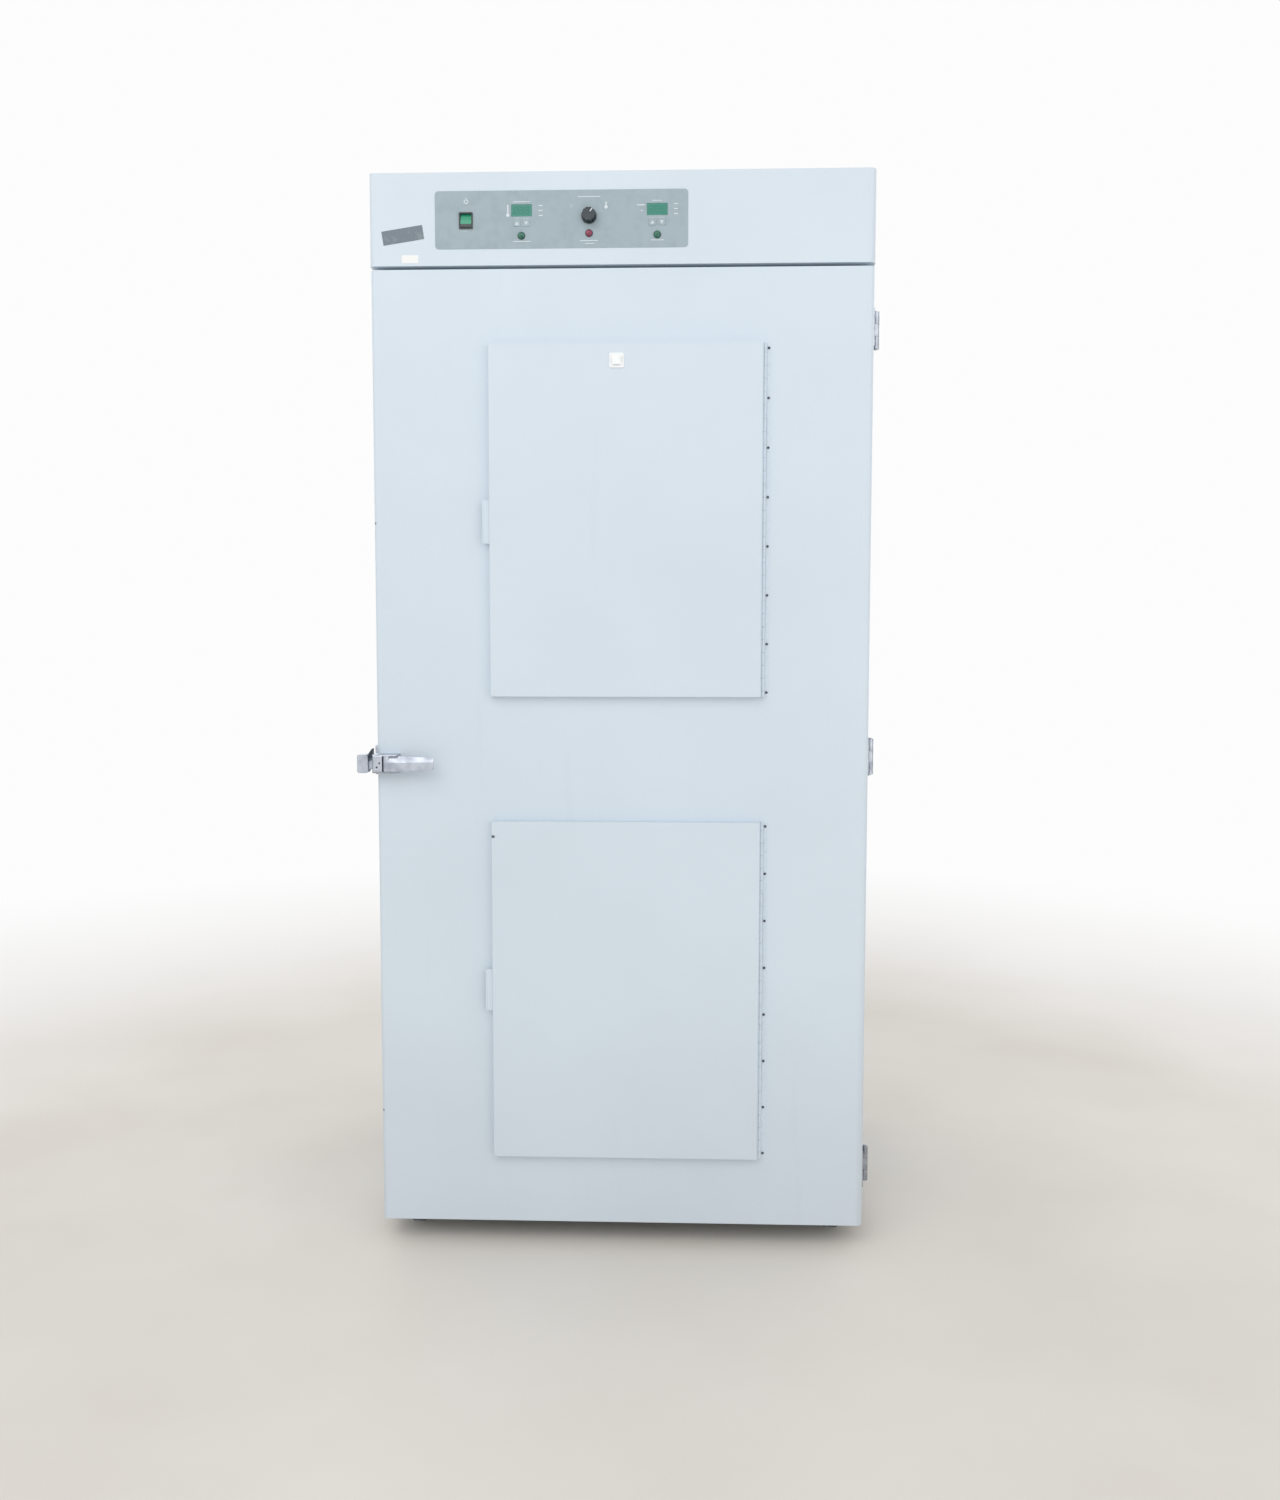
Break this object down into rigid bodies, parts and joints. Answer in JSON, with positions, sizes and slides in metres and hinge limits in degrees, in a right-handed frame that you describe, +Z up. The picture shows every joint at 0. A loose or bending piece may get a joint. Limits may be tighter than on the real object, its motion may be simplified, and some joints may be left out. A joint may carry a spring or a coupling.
{
  "type": "laboratory oven",
  "caption": "Tall floor-standing forced-air laboratory oven with one insulated door, two hinged window covers, a lever latch and a control head.",
  "frame": {"origin": "on the floor, below the middle of the whole depth, on the cabinet's centre plane", "axes": "+Z up, the door and controls face -Y, +X to the right as seen from the front"},
  "size_m": [1.0395, 0.892, 2.159],
  "materials": {
    "painted_casing": "satin powder coat",
    "painted_leaf": "satin paint",
    "stainless": "brushed",
    "galvanised": "galvanised",
    "mineral_wool": "fibrous",
    "foot_steel": "zinc plated",
    "wheel_steel": "plain",
    "motor_paint": "satin",
    "element_sheath": "heat darkened",
    "probe_steel": "plain",
    "relay_metal": "finned",
    "panel_overlay": "fine texture",
    "display_green": "tinted clear",
    "circuit_board": "solder mask",
    "key_plastic": "fine texture",
    "lamp_green": "moulded lens",
    "lamp_red": "moulded lens",
    "switch_black": "moulded",
    "rocker_green": "clear lens",
    "thermostat_body": "moulded",
    "knob_black": "moulded",
    "door_seal": "silicone",
    "window_glass": "clear",
    "hinge_chrome": "polished",
    "pin_steel": "plain",
    "catch_plastic": "moulded",
    "tie_mount_nylon": "natural nylon",
    "latch_chrome": "satin chrome",
    "strike_nylon": "moulded",
    "stud_steel": "zinc plated",
    "gland_nylon": "moulded"
  },
  "bodies": {
    "cabinet": {"base_tray": "galvanised", "blower_housing": "stainless", "blower_motor": "motor_paint", "cabinet_insulation": "mineral_wool", "case_studs": "stud_steel", "ceiling_panel": "stainless", "chamber_liner": "stainless", "control_head": "painted_casing", "control_overlay": "panel_overlay", "display_boards": "circuit_board", "display_windows": "display_green", "door_hinge_fixed_leaves": "hinge_chrome", "door_hinge_pins": "hinge_chrome", "front_frame": "painted_casing", "green_lamps": "lamp_green", "head_deck": "galvanised", "heater_element": "element_sheath", "levelling_feet": "foot_steel", "limit_thermostat": "thermostat_body", "outer_back_panel": "painted_casing", "outer_left_side": "painted_casing", "outer_right_side": "painted_casing", "outer_top_cover": "painted_casing", "power_relay": "relay_metal", "red_lamp": "lamp_red", "return_duct_panel": "stainless", "rocker_housing": "switch_black", "shelf_clips": "stainless", "shelf_standards": "stainless", "shelves": "stainless", "strike_bracket": "latch_chrome", "strike_wedge": "strike_nylon", "supply_duct_panel": "stainless", "supply_gland": "gland_nylon", "temperature_probes": "probe_steel"},
    "main_door": {"door_outer_skin": "painted_casing", "door_inner_panel": "stainless", "door_insulation": "mineral_wool", "door_gasket": "door_seal", "window_frames": "stainless", "window_panes": "window_glass", "door_hinge_moving_leaves": "hinge_chrome", "latch_base": "latch_chrome", "cover_fixed_leaves": "painted_leaf", "cover_hinge_pins": "pin_steel", "cover_catches": "catch_plastic"},
    "upper_window_cover": {"upper_cover": "painted_casing", "upper_cover_leaf": "painted_leaf", "cable_tie_mount": "tie_mount_nylon"},
    "lower_window_cover": {"lower_cover": "painted_casing", "lower_cover_leaf": "painted_leaf"},
    "latch_handle": {"latch_lever": "latch_chrome"},
    "bolt": {"latch_bolt": "latch_chrome"},
    "rocker": {"power_rocker": "rocker_green"},
    "knob": {"limit_knob": "knob_black"},
    "left_up_key": {"up_key_left": "key_plastic"},
    "left_down_key": {"down_key_left": "key_plastic"},
    "right_up_key": {"up_key_right": "key_plastic"},
    "right_down_key": {"down_key_right": "key_plastic"},
    "blower_rotor": {"blower_wheel": "wheel_steel"}
  },
  "joints": [
    {"name": "door_swing", "type": "hinge", "parent": "cabinet", "child": "main_door", "pos_m": [0.5045, -0.347, 1.0085], "axis": [0, 0, 1], "range_deg": [0, 170]},
    {"name": "upper_cover_swing", "type": "hinge", "parent": "main_door", "child": "upper_window_cover", "pos_m": [0.2812, -0.4126, 1.477], "axis": [0, 0, 1], "range_deg": [0, 105]},
    {"name": "lower_cover_swing", "type": "hinge", "parent": "main_door", "child": "lower_window_cover", "pos_m": [0.2812, -0.4126, 0.5355], "axis": [0, 0, 1], "range_deg": [0, 105]},
    {"name": "latch_pull", "type": "hinge", "parent": "main_door", "child": "latch_handle", "pos_m": [-0.47, -0.433, 0.997], "axis": [0, 0, -1], "range_deg": [0, 25]},
    {"name": "bolt_slide", "type": "slide", "parent": "main_door", "child": "bolt", "axis": [1, 0, 0], "range_m": [0, 0.0085]},
    {"name": "switch_rock", "type": "hinge", "parent": "cabinet", "child": "rocker", "pos_m": [-0.3042, -0.4048, 2.0613], "axis": [1, 0, 0], "range_deg": [0, 20]},
    {"name": "limit_turn", "type": "hinge", "parent": "cabinet", "child": "knob", "pos_m": [-0.063, -0.4088, 2.068], "axis": [0, 1, 0], "range_deg": [-188, 112]},
    {"name": "blower_spin", "type": "hinge", "parent": "cabinet", "child": "blower_rotor", "pos_m": [0.03, 0.02275, 1.837], "axis": [0, 0, 1], "continuous": true},
    {"name": "left_up_key_press", "type": "slide", "parent": "cabinet", "child": "left_up_key", "axis": [0, 1, 0], "range_m": [0, 0.0005], "stiffness_N_per_m": 400},
    {"name": "left_down_key_press", "type": "slide", "parent": "cabinet", "child": "left_down_key", "axis": [0, 1, 0], "range_m": [0, 0.0005], "stiffness_N_per_m": 400},
    {"name": "right_up_key_press", "type": "slide", "parent": "cabinet", "child": "right_up_key", "axis": [0, 1, 0], "range_m": [0, 0.0005], "stiffness_N_per_m": 400},
    {"name": "right_down_key_press", "type": "slide", "parent": "cabinet", "child": "right_down_key", "axis": [0, 1, 0], "range_m": [0, 0.0005], "stiffness_N_per_m": 400}
  ],
  "couplings": [
    {"joint": "bolt_slide", "follows": "latch_pull", "m_per_rad": 0.0194}
  ]
}
